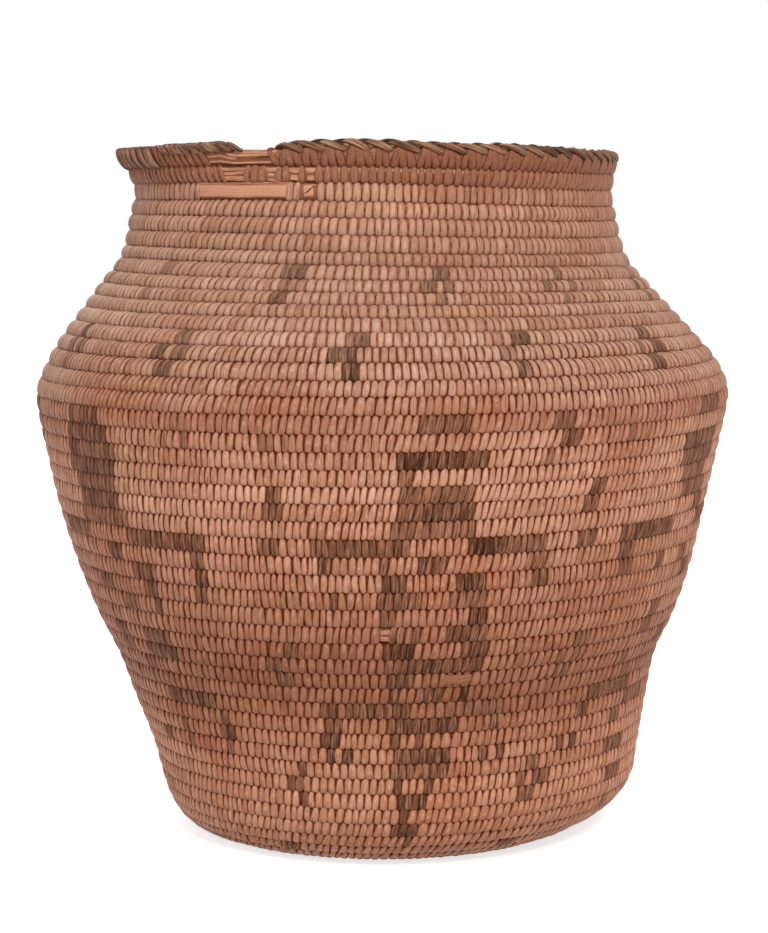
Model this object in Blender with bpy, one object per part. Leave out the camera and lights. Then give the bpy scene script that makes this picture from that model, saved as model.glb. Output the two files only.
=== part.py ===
"""Coiled storage basket: one spiral foundation, sewn row by row, with a braided rim.

Metres, +Z up. The origin is on the floor, under the middle of the flat base.
The front of the basket looks towards -Y. Azimuths are measured from the front,
positive towards +X, so the coil climbs counter-clockwise seen from above.
"""
import math

import bmesh
import bpy

MM = 0.001

# Driving dimensions
WALL = 6.0 * MM              # wall thickness, foundation and sewing together
SEWING = 1.0 * MM            # thickness of the sewing on each side of the foundation
CORE_RADIUS = 1.6 * MM       # foundation bundle
GAP = 0.3 * MM               # between neighbouring solids
BRAID_HEIGHT = 3.3 * MM      # braid above the top row
BRAID_OVERHANG = 0.5 * MM    # how far the braid stands proud of the wall
BRAID_CHAMFER = 1.1 * MM
SIDE_SAG = 2.5 * MM          # the upper rows lie this much lower on the right side

# Outer surface, from the edge of the flat base to the rim: radius, height, sideways drift
PROFILE = [
    (60.0, 0.0, 0.0),
    (69.0, 1.3, 0.0),
    (75.5, 4.8, 1.5),
    (82.0, 11.0, 4.0),
    (85.8, 18.5, 5.3),
    (88.6, 31.0, 4.8),
    (93.2, 48.0, 2.9),
    (97.7, 64.0, 1.5),
    (104.3, 78.0, 1.2),
    (110.5, 95.0, 0.7),
    (116.4, 117.0, -0.3),
    (121.0, 138.0, -0.3),
    (123.5, 150.0, -0.2),
    (124.1, 159.0, 0.0),
    (120.6, 168.0, 0.0),
    (113.6, 178.0, -1.3),
    (105.2, 188.0, -2.2),
    (97.6, 197.0, -3.1),
    (91.8, 204.0, -3.3),
    (88.8, 212.0, -3.4),
    (87.2, 220.0, -3.5),
    (85.9, 227.0, -3.7),
    (87.0, 234.0, -4.0),
    (88.9, 241.0, -4.5),
    (90.0, 246.0, -4.9),
]
SAMPLES_PER_SPAN = 12

# Row pitch along the outer surface: distance from the middle of the base, pitch
ROW_PITCH = [
    (0.0, 5.6),
    (140.0, 5.6),
    (165.0, 6.3),
    (225.0, 5.9),
    (265.0, 5.6),
    (290.0, 5.4),
    (320.0, 6.0),
    (345.0, 5.8),
]
FRONT_TOP = 336.4 * MM       # distance of the top row's upper edge, at the front
SAG_START = 245.0 * MM       # distance along the surface where the sag begins
SAG_FULL = 300.0 * MM
RIM_DROP = 2.5 * MM          # the top row is worn down this much at both sides

# The coil, counted in turns from its start beside the knot
SEGMENTS = 16                # flat stretches in a turn
SEAM = math.radians(-22.5)   # azimuth where one row ends and the next begins
BASE_TURNS = 9
FULL_TURNS = 57
COIL_END = math.radians(180.0)
TAPER_TURNS = 0.25           # the last stretch, where the coil thins out
CORE_STOP = 0.125            # the foundation stops this far before the coil's end
SEWING_STOP = 0.0625
LAST_TURN = FULL_TURNS + (COIL_END - SEAM) / (2 * math.pi)
FRONT_TURN = FULL_TURNS - SEAM / (2 * math.pi)
TOP_TURN = LAST_TURN - 1     # where the last turn's upper edge, the rim, begins

# Sewing lost beside the seam, which leaves the foundation bare: degrees before and after it
LOST_SEWING = {55: (19.5, 3.5), 57: (12.5, 6.8)}

# Azimuths in degrees where the two surviving lengths of braid start and stop
LONG_BRAID = (-20.5, 264.0)
SHORT_BRAID = (-57.0, -28.0)

COLOURS = {
    "willow_sewing": ((0.47, 0.22, 0.12, 1.0), 0.6),
    "bundle_foundation": ((0.62, 0.45, 0.30, 1.0), 0.8),
    "devils_claw": ((0.05, 0.03, 0.02, 1.0), 0.5),
}


def material(name):
    """Find or make the named material."""
    found = bpy.data.materials.get(name)
    if found:
        return found
    colour, roughness = COLOURS[name]
    made = bpy.data.materials.new(name)
    made.use_nodes = True
    shader = made.node_tree.nodes["Principled BSDF"]
    shader.inputs["Base Color"].default_value = colour
    shader.inputs["Roughness"].default_value = roughness
    shader.inputs["Metallic"].default_value = 0.0
    return made


def spline_point(p0, p1, p2, p3, t):
    """Centripetal curve between p1 and p2, for t from 0 to 1."""
    knots = [0.0]
    for a, b in ((p0, p1), (p1, p2), (p2, p3)):
        knots.append(knots[-1] + math.sqrt(math.hypot(b[0] - a[0], b[1] - a[1])))
    k0, k1, k2, k3 = knots
    u = k1 + (k2 - k1) * t

    def mix(a, b, ka, kb):
        w = (u - ka) / (kb - ka)
        return tuple(x + (y - x) * w for x, y in zip(a, b))

    first = mix(p0, p1, k0, k1)
    second = mix(p1, p2, k1, k2)
    third = mix(p2, p3, k2, k3)
    return mix(mix(first, second, k0, k2), mix(second, third, k1, k3), k1, k2)


def trace_profile():
    """Samples of the outer surface: distance, radius, height, drift and the way inward."""
    points = [tuple(v * MM for v in p) for p in PROFILE]
    inner = (points[0][0] - 6 * MM, 0.0, points[0][2])
    outer = tuple(2 * b - a for a, b in zip(points[-2], points[-1]))
    points = [inner] + points + [outer]
    path = [(0.0, 0.0, PROFILE[0][2] * MM)]
    for i in range(1, len(points) - 2):
        for k in range(SAMPLES_PER_SPAN):
            path.append(spline_point(*points[i - 1:i + 3], k / SAMPLES_PER_SPAN))
    path.append(points[-2])
    path.append(points[-1])
    samples = []
    distance = 0.0
    for i, (radius, height, drift) in enumerate(path):
        before = path[max(i - 1, 0)]
        after = path[min(i + 1, len(path) - 1)]
        distance += math.hypot(radius - before[0], height - before[1])
        run = after[0] - before[0]
        rise = after[1] - before[1]
        length = math.hypot(run, rise)
        samples.append((distance, radius, height, drift, -rise / length, run / length))
    return samples


SURFACE = trace_profile()


def on_surface(distance):
    """Radius, height, drift and the way inward at a distance along the outer surface."""
    low, high = 0, len(SURFACE) - 1
    while high - low > 1:
        middle = (low + high) // 2
        if SURFACE[middle][0] <= distance:
            low = middle
        else:
            high = middle
    a, b = SURFACE[low], SURFACE[high]
    w = (distance - a[0]) / (b[0] - a[0])
    return tuple(x + (y - x) * w for x, y in zip(a[1:], b[1:]))


def pitch_at(distance):
    """Height of a row, measured along the surface."""
    place = distance / MM
    for (a, pitch_a), (b, pitch_b) in zip(ROW_PITCH, ROW_PITCH[1:]):
        if place <= b:
            w = max(0.0, (place - a) / (b - a))
            return (pitch_a + (pitch_b - pitch_a) * w) * MM
    return ROW_PITCH[-1][1] * MM


def trace_rows():
    """Upper edge of the coil at each grid step, keyed by the step's number from the start."""
    first = -SEGMENTS
    last = math.ceil(LAST_TURN * SEGMENTS) + 1
    start = round(FRONT_TURN * SEGMENTS)
    edges = {start: FRONT_TOP}
    for step in range(start, last):
        edges[step + 1] = edges[step] + pitch_at(edges[step]) / SEGMENTS
    for step in range(start, first, -1):
        edges[step - 1] = edges[step] - pitch_at(edges[step]) / SEGMENTS
    return edges


ROW_EDGES = trace_rows()


def azimuth(turn):
    return SEAM + 2 * math.pi * turn


def smooth(value):
    value = min(1.0, max(0.0, value))
    return value * value * (3 - 2 * value)


def edge(step):
    """Distance of the coil's upper edge at a grid step, with sag and wear."""
    base = ROW_EDGES[step]
    sideways = math.sin(azimuth(step / SEGMENTS))
    sag = SIDE_SAG * smooth((base - SAG_START) / (SAG_FULL - SAG_START))
    drop = RIM_DROP if step > TOP_TURN * SEGMENTS else 0.0
    return base - sag * sideways - drop * sideways ** 2


def fullness(turn):
    """1 on the coil, falling to 0 at its end."""
    return min(1.0, max(0.0, (LAST_TURN - turn) / TAPER_TURNS))


def place(distance, angle, depth):
    """Point at a distance along the surface, at an azimuth, this deep into the wall."""
    radius, height, drift, inward, upward = on_surface(distance)
    radius += depth * inward
    height += depth * upward
    return (drift + radius * math.sin(angle), -radius * math.cos(angle), height)


def row_limits(step):
    """Lower and upper distance of the row that passes a grid step."""
    low = edge(step - SEGMENTS)
    high = low + (edge(step) - low) * fullness(step / SEGMENTS)
    return low + GAP / 2, high - GAP / 2


def sewing_section(step):
    """The sewing goes over the foundation and down both faces of the wall."""
    low, high = row_limits(step)
    roof = max(high - SEWING, low + 0.1 * MM)
    outline = [
        (low, 0.0),
        (high, 0.4 * MM),
        (high, WALL - 0.4 * MM),
        (low, WALL),
        (low, WALL - SEWING),
        (roof, WALL - SEWING),
        (roof, SEWING),
        (low, SEWING),
    ]
    angle = azimuth(step / SEGMENTS)
    return [place(distance, angle, depth) for distance, depth in outline]


def braid_section(step):
    """A flattened cord, wider than the wall that it covers."""
    if step >= round(LAST_TURN * SEGMENTS):
        step -= SEGMENTS
    low = row_limits(step)[1] + GAP
    middle = low + BRAID_HEIGHT / 2
    high = low + BRAID_HEIGHT
    outline = [
        (low, BRAID_CHAMFER),
        (middle, -BRAID_OVERHANG),
        (high, BRAID_CHAMFER),
        (high, WALL - BRAID_CHAMFER),
        (middle, WALL + BRAID_OVERHANG),
        (low, WALL - BRAID_CHAMFER),
    ]
    angle = azimuth(step / SEGMENTS)
    return [place(distance, angle, depth) for distance, depth in outline]


def stations(section, start, stop):
    """Sections from one turn number to another, on the same chords as the neighbouring rows."""

    def between(turn):
        low = math.floor(turn * SEGMENTS)
        w = turn * SEGMENTS - low
        pairs = zip(section(low), section(low + 1))
        return [tuple(x + (y - x) * w for x, y in zip(a, b)) for a, b in pairs]

    first = math.floor(start * SEGMENTS) + 1
    last = math.ceil(stop * SEGMENTS) - 1
    found = [between(start)]
    found += [section(step) for step in range(first, last + 1)]
    found.append(between(stop))
    return found


def lofted(name, sections, finish, collection):
    """A solid through the sections, closed at both ends."""
    shape = bmesh.new()
    rings = [[shape.verts.new(p) for p in section] for section in sections]
    count = len(rings[0])
    for a, b in zip(rings, rings[1:]):
        for i in range(count):
            j = (i + 1) % count
            shape.faces.new((a[i], a[j], b[j], b[i]))
    shape.faces.new(reversed(rings[0]))
    shape.faces.new(rings[-1])
    bmesh.ops.recalc_face_normals(shape, faces=shape.faces)
    mesh = bpy.data.meshes.new(name)
    shape.to_mesh(mesh)
    shape.free()
    mesh.materials.append(material(finish))
    made = bpy.data.objects.new(name, mesh)
    collection.objects.link(made)
    return made


def end_gap(turn):
    """Half the gap between two rows end to end, in turns."""
    radius = on_surface(ROW_EDGES[round(turn * SEGMENTS)])[0]
    return GAP / 2 / (2 * math.pi * radius)


def sewn_row(name, first, last, collection):
    """The sewing of the turns from first to last."""
    start = first + end_gap(first) if first else 0.0
    stop = last - end_gap(last) if last < LAST_TURN else LAST_TURN - SEWING_STOP
    if first in LOST_SEWING:
        start += LOST_SEWING[first][1] / 360
    if last in LOST_SEWING:
        stop -= LOST_SEWING[last][0] / 360
    return lofted(name, stations(sewing_section, start, stop), "willow_sewing", collection)


def foundation_coil(collection):
    """The bundle inside the sewing, one unbroken spiral from the knot to the rim."""
    curve = bpy.data.curves.new("foundation_coil", "CURVE")
    curve.dimensions = "3D"
    curve.resolution_u = 1
    curve.bevel_depth = CORE_RADIUS
    curve.bevel_resolution = 0
    curve.use_fill_caps = True
    curve.twist_mode = "Z_UP"
    curve.materials.append(material("bundle_foundation"))
    spline = curve.splines.new("POLY")
    last = round((LAST_TURN - CORE_STOP) * SEGMENTS)
    spline.points.add(last - 1)
    for step, point in enumerate(spline.points, start=1):
        cavity = sewing_section(step)[4:]
        low, high = row_limits(step)
        point.co = (*[sum(values) / len(cavity) for values in zip(*cavity)], 1.0)
        point.radius = min(1.0, ((high - SEWING - low) / 2 - GAP) / CORE_RADIUS)
    made = bpy.data.objects.new("foundation_coil", curve)
    collection.objects.link(made)
    return made


def start_knot(collection):
    """The knotted centre that the first turn is wound around."""
    curve = bpy.data.curves.new("start_knot", "CURVE")
    curve.dimensions = "2D"
    curve.fill_mode = "BOTH"
    curve.extrude = WALL / 2
    curve.materials.append(material("devils_claw"))
    spline = curve.splines.new("POLY")
    spline.points.add(SEGMENTS)
    spline.use_cyclic_u = True
    for step, point in enumerate(spline.points):
        radius = edge(step - SEGMENTS) - GAP / 2
        angle = azimuth(step / SEGMENTS)
        drift = PROFILE[0][2] * MM
        point.co = (drift + radius * math.sin(angle), -radius * math.cos(angle), 0.0, 1.0)
    made = bpy.data.objects.new("start_knot", curve)
    made.location.z = WALL / 2
    collection.objects.link(made)
    return made


def rim_braid(name, limits, collection):
    """A surviving length of the braid that finishes the rim."""
    seam = math.degrees(SEAM)
    start, stop = [FULL_TURNS + (angle - seam) / 360 for angle in limits]
    return lofted(name, stations(braid_section, start, stop), "devils_claw", collection)


def main():
    for old in list(bpy.data.objects):
        bpy.data.objects.remove(old)
    basket = bpy.data.collections.new("coiled_basket")
    bpy.context.scene.collection.children.link(basket)
    start_knot(basket)
    foundation_coil(basket)
    sewn_row("base_sewing", 0, BASE_TURNS, basket)
    for turn in range(BASE_TURNS, FULL_TURNS):
        sewn_row(f"wall_row_{turn - BASE_TURNS + 1:02d}", turn, turn + 1, basket)
    sewn_row("closing_row", FULL_TURNS, LAST_TURN, basket)
    rim_braid("rim_braid_long", LONG_BRAID, basket)
    rim_braid("rim_braid_short", SHORT_BRAID, basket)


main()
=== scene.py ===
"""Looks of the coiled basket: every stitch, the bundle under them, the rim braid, and the light.

Azimuths are measured from the front (-Y), positive towards +X. The coil is counted in turns, as in
the fixed frame: row 1 of the wall is turn 9 to 10, and the coil climbs counter-clockwise from above.
"""
import math

import bpy
import numpy as np
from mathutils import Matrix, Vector


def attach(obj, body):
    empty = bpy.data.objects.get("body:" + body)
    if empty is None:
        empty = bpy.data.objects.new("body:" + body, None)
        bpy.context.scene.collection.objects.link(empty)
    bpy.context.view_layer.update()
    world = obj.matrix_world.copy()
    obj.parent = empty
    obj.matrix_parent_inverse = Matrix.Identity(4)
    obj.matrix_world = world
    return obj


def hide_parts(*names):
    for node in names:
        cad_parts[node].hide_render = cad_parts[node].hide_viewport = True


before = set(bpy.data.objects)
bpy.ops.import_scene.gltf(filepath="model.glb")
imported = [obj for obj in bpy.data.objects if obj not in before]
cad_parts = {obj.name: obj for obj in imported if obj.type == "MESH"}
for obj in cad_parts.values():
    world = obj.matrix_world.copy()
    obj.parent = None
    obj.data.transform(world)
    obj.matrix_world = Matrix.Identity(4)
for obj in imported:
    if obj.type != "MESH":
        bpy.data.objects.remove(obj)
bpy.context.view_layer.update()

MM = 0.001
SEED = 7

# The wall, as in the fixed frame: its thickness, how far the rows sag at the side, and the points
# of its outer surface as radius, height and drift to the side, in mm
WALL_MM = 6.0
SIDE_SAG = 2.5 * MM
PROFILE = [
    (60.0, 0.0, 0.0), (69.0, 1.3, 0.0), (75.5, 4.8, 1.5), (82.0, 11.0, 4.0), (85.8, 18.5, 5.3),
    (88.6, 31.0, 4.8), (93.2, 48.0, 2.9), (97.7, 64.0, 1.5), (104.3, 78.0, 1.2), (110.5, 95.0, 0.7),
    (116.4, 117.0, -0.3), (121.0, 138.0, -0.3), (123.5, 150.0, -0.2), (124.1, 159.0, 0.0),
    (120.6, 168.0, 0.0), (113.6, 178.0, -1.3), (105.2, 188.0, -2.2), (97.6, 197.0, -3.1),
    (91.8, 204.0, -3.3), (88.8, 212.0, -3.4), (87.2, 220.0, -3.5), (85.9, 227.0, -3.7),
    (87.0, 234.0, -4.0), (88.9, 241.0, -4.5), (90.0, 246.0, -4.9),
]
SAMPLES_PER_SPAN = 12
RIM_RADIUS = PROFILE[-1][0]
RIM_DEGREES_PER_MM = math.degrees(1 / RIM_RADIUS)
# Distance along the surface, and the height of a row there, in mm
ROW_PITCH = [
    (0.0, 5.6), (140.0, 5.6), (165.0, 6.3), (225.0, 5.9), (265.0, 5.6), (290.0, 5.4), (320.0, 6.0),
    (345.0, 5.8),
]
FRONT_TOP = 336.4 * MM       # distance of the top row's upper edge at the front
SAG_START = 245.0 * MM
SAG_FULL = 300.0 * MM
STEPS_PER_TURN = 16
SEAM = math.radians(-22.5)   # azimuth where each turn starts
BASE_TURNS = 9
FULL_TURNS = 57
LAST_TURN = FULL_TURNS + (math.pi - SEAM) / (2 * math.pi)
FRONT_TURN = FULL_TURNS - SEAM / (2 * math.pi)
TAPER_TURNS = 0.25           # in which the coil thins out to its end
SEWING_STOP = 0.02           # turns before that end

# The sewing
# Distance along the wall, and stitch to stitch there, in mm
STITCH_PITCH = [
    (0.0, 2.75), (120.0, 2.75), (150.0, 2.85), (165.0, 2.65), (175.0, 2.42), (195.0, 2.45),
    (215.0, 2.6), (245.0, 2.68), (262.0, 2.8), (336.0, 2.85),
]
SPLINT_STITCHES = (9, 22)    # stitches made with one splint
FIRST_TURN_STITCHES = 13
# Distance along the wall in mm where the shoulder starts, where its stitches become flat bands, and
# the stretches over which that happens
SHOULDER_START, SHOULDER_BLEND = 236, 16
BANDS_START, BANDS_BLEND = 246, 12


def columns(table):
    """The columns of a table as arrays."""
    return [np.array(column, float) for column in zip(*table)]


def ramp(value, start, length):
    """0 up to the start, 1 from a length after it, smooth between."""
    share = np.clip((value - start) / length, 0.0, 1.0)
    return share * share * (3 - 2 * share)


def wrapped(degrees):
    """The same azimuth, from -180 to 180."""
    return (degrees + 180) % 360 - 180


def spline_point(p0, p1, p2, p3, t):
    """Centripetal curve between p1 and p2, for t from 0 to 1."""
    knots = [0.0]
    for a, b in ((p0, p1), (p1, p2), (p2, p3)):
        knots.append(knots[-1] + math.sqrt(math.hypot(b[0] - a[0], b[1] - a[1])))
    k0, k1, k2, k3 = knots
    u = k1 + (k2 - k1) * t

    def mix(a, b, ka, kb):
        w = (u - ka) / (kb - ka)
        return tuple(x + (y - x) * w for x, y in zip(a, b))

    first = mix(p0, p1, k0, k1)
    second = mix(p1, p2, k1, k2)
    third = mix(p2, p3, k2, k3)
    return mix(mix(first, second, k0, k2), mix(second, third, k1, k3), k1, k2)


def trace_profile():
    """Columns of the outer surface: distance, radius, height, drift, and the way inward."""
    points = [tuple(v * MM for v in p) for p in PROFILE]
    inner = (points[0][0] - WALL_MM * MM, 0.0, points[0][2])
    outer = tuple(2 * b - a for a, b in zip(points[-2], points[-1]))
    points = [inner] + points + [outer]
    path = [(0.0, 0.0, PROFILE[0][2] * MM)]
    for i in range(1, len(points) - 2):
        for k in range(SAMPLES_PER_SPAN):
            path.append(spline_point(*points[i - 1:i + 3], k / SAMPLES_PER_SPAN))
    path += points[-2:]
    path = np.array(path)
    steps = np.hypot(np.diff(path[:, 0]), np.diff(path[:, 1]))
    distance = np.concatenate([[0.0], np.cumsum(steps)])
    run, rise = np.gradient(path[:, :2], axis=0).T
    length = np.hypot(run, rise)
    return np.stack([distance, *path.T, -rise / length, run / length])


SURFACE = trace_profile()


def wall_point(distance, angle, depth):
    """Points at a distance along the outer surface, at an azimuth, this deep into the wall."""
    radius, height, drift, inward, upward = [np.interp(distance, SURFACE[0], v) for v in SURFACE[1:]]
    radius = radius + depth * inward
    height = height + depth * upward
    return np.stack([drift + radius * np.sin(angle), -radius * np.cos(angle), height], axis=-1)


def radius_at(distance):
    """Radius of the outer surface at a distance along it."""
    return np.interp(distance, SURFACE[0], SURFACE[1])


def trace_rows():
    """Turn numbers on a fine grid, and the distance of the coil's upper edge at each."""
    places, pitches = (column * MM for column in columns(ROW_PITCH))
    first = -STEPS_PER_TURN
    last = math.ceil(LAST_TURN * STEPS_PER_TURN) + 1
    start = round(FRONT_TURN * STEPS_PER_TURN)
    edges = {start: FRONT_TOP}
    for way, stop in ((1, last), (-1, first)):
        for step in range(start, stop, way):
            pitch = np.interp(edges[step], places, pitches)
            edges[step + way] = edges[step] + way * pitch / STEPS_PER_TURN
    steps = np.array(sorted(edges))
    return steps / STEPS_PER_TURN, np.array([edges[step] for step in steps])


EDGE_TURNS, EDGE_DISTANCES = trace_rows()


def azimuth(turn):
    """Azimuth in radians of a place on the coil."""
    return SEAM + 2 * math.pi * turn


# How far the rows of the front lie above an even spacing: rows down from the rim, and mm
SHOULDER_SHIFT = [
    (4, 0.0), (6, 0.2), (7, 1.5), (9, 1.9), (11, 2.6), (12, 2.3), (14, 1.6), (15, 0.5), (16, 0.3),
    (17, -0.2), (18, -0.6), (20, -0.6), (22, 0.0),
]
NECK_SHIFT = [(0, 0.0), (1, -1.3), (2, -0.8), (3, -0.4), (4, 0.0)]
NECK_SIDE_SHIFT = [(0, 0.0), (1, -0.8), (2, -1.0), (3, -0.6), (4, -0.3), (5.5, 0.0)]
# How far the rim is worn down: azimuth, and mm
RIM_DROP = [
    (-150, 0.0), (-110, 1.8), (-62, 1.8), (-50, 1.6), (-42, 1.3), (-36, 0.8), (-34.0, 0.6),
    (-31.0, 2.8), (-21.5, 2.8), (-18.5, 1.4), (-10, 0.6), (-3, 0.0), (20, 0.8), (34, 0.5),
    (50, 1.2), (64, 1.7), (80, 1.7), (110, 1.7), (150, 0.0),
]


def shift_of(level, table):
    """Shift in m at a level, counted in rows down from the rim."""
    return np.interp(level, *zip(*table), right=0.0) * MM


def edge(turn):
    """Distance of the coil's upper edge, with the sag and shifts of the upper rows."""
    base = np.interp(turn, EDGE_TURNS, EDGE_DISTANCES)
    sag = SIDE_SAG * ramp(base, SAG_START, SAG_FULL - SAG_START)
    degrees = degrees_of(turn)
    level = FRONT_TURN + degrees / 360 - turn
    front = 1 - ramp(np.abs(degrees + 12), 58, 45)
    neck = 1 - ramp(np.abs(degrees), 110, 40)
    shift = (front * shift_of(level, SHOULDER_SHIFT) + neck * shift_of(level, NECK_SHIFT)
             + neck * ramp(np.abs(degrees), 0, 65) * shift_of(level, NECK_SIDE_SHIFT))
    drop = np.interp(degrees, *zip(*RIM_DROP)) * np.clip(1 - level, 0, 1) * MM
    return base - sag * np.sin(azimuth(turn)) + shift - drop


def row_limits(turn):
    """Lower and upper distance of the row that passes a turn number."""
    low = edge(turn - 1)
    fullness = np.clip((LAST_TURN - turn) / TAPER_TURNS, 0.0, 1.0)
    return low, low + (edge(turn) - low) * fullness


def degrees_of(turn):
    """Azimuth in degrees, from -180 to 180."""
    return wrapped(np.degrees(azimuth(turn)))


def course_of(turn, degrees):
    """Rows counted down from the rim: 1 is the top one. degrees may run on past 180."""
    return np.rint(FRONT_TURN + degrees / 360 - turn).astype(int) + 1


def turn_of(course, degrees):
    """Turn number of a course at an azimuth."""
    return FRONT_TURN - (course - 1) + degrees / 360


# Patterns in dark splint, as a weaver counts them. A bar is a course, the azimuths in degrees where
# it starts and stops, counted from the figure's centre line, and how faded its splint is.
FIGURE = [
    (18, -3.5, 4.2, 0.35), (20, -6.9, 7.0, 0.2), (21, -6.6, -4.0, 0.75), (22, -6.0, 5.2, 0.5),
    (23, -6.3, -1.0, 0.5), (23, -1.0, 5.7, 0.25), (24, -7.0, 6.2, 0.65), (25, -19.8, -4.6, 0.45),
    (25, 4.7, 12.0, 0.05), (25, 12.0, 19.2, 0.5), (26, -19.3, -16.8, 0.1), (26, -8.8, -7.6, 0.5),
    (26, -3.0, 2.2, 0.25), (26, 6.4, 7.4, 0.5), (26, 15.7, 18.7, 0.7), (27, -9.6, -5.1, 0.3),
    (27, 3.2, 8.0, 0.25), (27, 16.2, 19.2, 0.45), (28, -18.0, -16.8, 0.45), (28, -9.6, -2.8, 0.5),
    (28, 2.2, 8.4, 0.6), (29, -9.6, -6.6, 0.45), (29, 6.2, 8.7, 0.25), (30, -7.8, -2.3, 0.6),
    (30, 1.4, 9.2, 0.4), (31, -9.3, -3.3, 0.15), (31, 4.4, 9.4, 0.3), (32, -9.3, -4.6, 0.55),
    (32, -4.6, 1.2, 0.15), (32, 2.2, 9.0, 0.25), (33, -9.0, -3.8, 0.15), (33, 7.0, 8.0, 0.4),
    (34, -8.8, -6.8, 0.35), (34, -3.8, 2.2, 0.3), (34, 5.5, 7.0, 0.1), (35, -22.0, -3.8, 0.3),
    (35, 2.2, 15.4, 0.45), (36, -22.0, -18.6, 0.4), (36, -9.0, 4.2, 0.35), (36, 10.4, 15.7, 0.75),
    (37, -23.0, -19.0, 0.3), (37, -9.3, -7.3, 0.4), (37, -3.3, -2.0, 0.5), (38, -23.3, -21.8, 0.25),
    (38, -19.8, -17.8, 0.35), (38, -9.3, 3.7, 0.35), (38, 10.2, 12.0, 0.35), (38, 14.0, 15.4, 0.35),
    (39, -9.6, 1.4, 0.6), (40, -9.6, -7.8, 0.4), (40, -2.3, -1.0, 0.35), (41, -9.6, -2.6, 0.2),
    (42, -8.8, -7.6, 0.4), (42, -5.3, -4.3, 0.45), (43, -9.6, -5.1, 0.2), (44, -8.8, -7.3, 0.3),
    (44, -6.3, -5.1, 0.3),
]
# The same figure as the weaver made it left and right of the front one
LEFT_FIGURE = [
    (18, -5.0, 3.7, 0.35), (19, -6.3, 5.5, 0.3), (20, -7.0, -3.5, 0.1), (20, -3.5, 7.0, 0.5),
    (21, -7.8, 6.0, 0.35), (22, -6.8, 5.3, 0.45), (23, -5.8, 5.3, 0.3), (24, -7.0, 6.7, 0.6),
    (25, -18.5, -5.8, 0.45), (25, 5.7, 23.0, 0.3), (26, -1.3, 3.2, 0.3), (26, 19.7, 22.2, 0.5),
    (27, 5.5, 11.0, 0.35), (27, 20.0, 23.3, 0.35), (28, -8.3, -2.7, 0.45), (28, 7.0, 10.5, 0.45),
    (28, 18.7, 22.2, 0.5), (29, -1.7, 3.2, 0.5), (29, 8.7, 10.5, 0.4), (31, -9.7, -5.0, 0.3),
    (31, 2.3, 9.5, 0.3), (32, -9.0, -4.5, 0.4), (32, 0.5, 9.7, 0.25), (33, -2.0, 0.3, 0.4),
    (35, 1.3, 15.5, 0.25), (36, 15.7, 19.0, 0.4), (37, 2.3, 5.3, 0.4), (37, 15.0, 19.3, 0.35),
    (38, -7.5, -5.0, 0.4), (38, 2.7, 5.0, 0.4), (38, 15.5, 17.7, 0.5),
]
RIGHT_FIGURE = [
    (18, -4.0, 4.0, 0.4), (20, -8.2, 5.2, 0.3), (21, -7.5, 6.0, 0.3), (22, -6.5, 3.0, 0.4),
    (23, -6.0, 5.5, 0.4), (24, 2.2, 6.5, 0.4), (25, -21.5, -5.7, 0.3), (25, 5.0, 19.0, 0.4),
    (26, -21.2, -17.8, 0.35), (27, -21.0, -17.5, 0.4), (27, -9.8, -7.8, 0.4), (27, -1.0, 3.0, 0.4),
    (28, 2.0, 8.0, 0.5), (30, -8.0, -3.0, 0.5), (31, -9.2, -4.2, 0.4), (32, 2.0, 8.5, 0.4),
    (33, -11.8, -9.0, 0.4), (34, -9.5, -6.5, 0.4), (35, -20.5, -4.7, 0.3), (36, -22.2, -19.0, 0.4),
    (36, -6.0, 5.0, 0.5), (37, -10.2, -6.8, 0.45), (39, -11.2, -1.8, 0.4), (41, -8.0, -2.0, 0.45),
    (43, -8.5, -5.0, 0.4),
]
# Azimuth of each figure's centre line
FIGURES = [
    (-53.5, LEFT_FIGURE), (8.8, FIGURE), (65.0, RIGHT_FIGURE), (125.4, FIGURE), (-174.2, FIGURE),
    (-113.8, FIGURE),
]

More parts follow.
